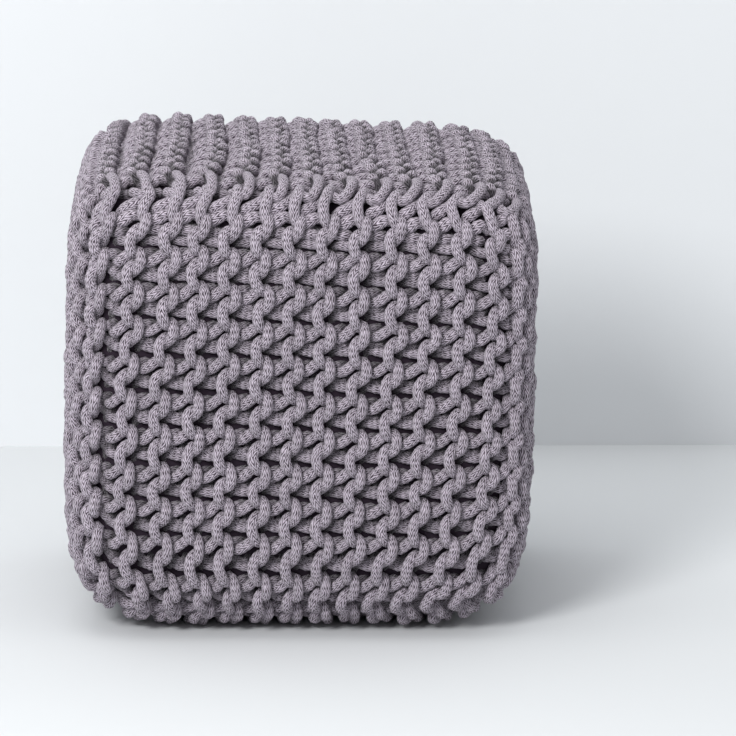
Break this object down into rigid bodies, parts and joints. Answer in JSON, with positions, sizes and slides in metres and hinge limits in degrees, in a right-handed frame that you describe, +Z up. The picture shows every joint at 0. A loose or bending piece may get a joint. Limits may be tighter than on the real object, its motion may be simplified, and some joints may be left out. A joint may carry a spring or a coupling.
{
  "type": "knitted cube pouf",
  "caption": "Soft cube-shaped floor pouf with a chunky ribbed cord-knit cover, rounded edges and a flat underside.",
  "frame": {"origin": "on the floor, under the middle of the pouf", "axes": "+Z up; -Y is the front, which the camera of the picture faces; +X is to the viewer's right"},
  "size_m": [0.4236, 0.42, 0.4244],
  "materials": {
    "cotton_cord": "matt mauve-grey knitted cotton cord"
  },
  "bodies": {
    "root": {"knitted_band": "cotton_cord", "side_panel_left": "cotton_cord", "side_panel_right": "cotton_cord"}
  },
  "joints": []
}
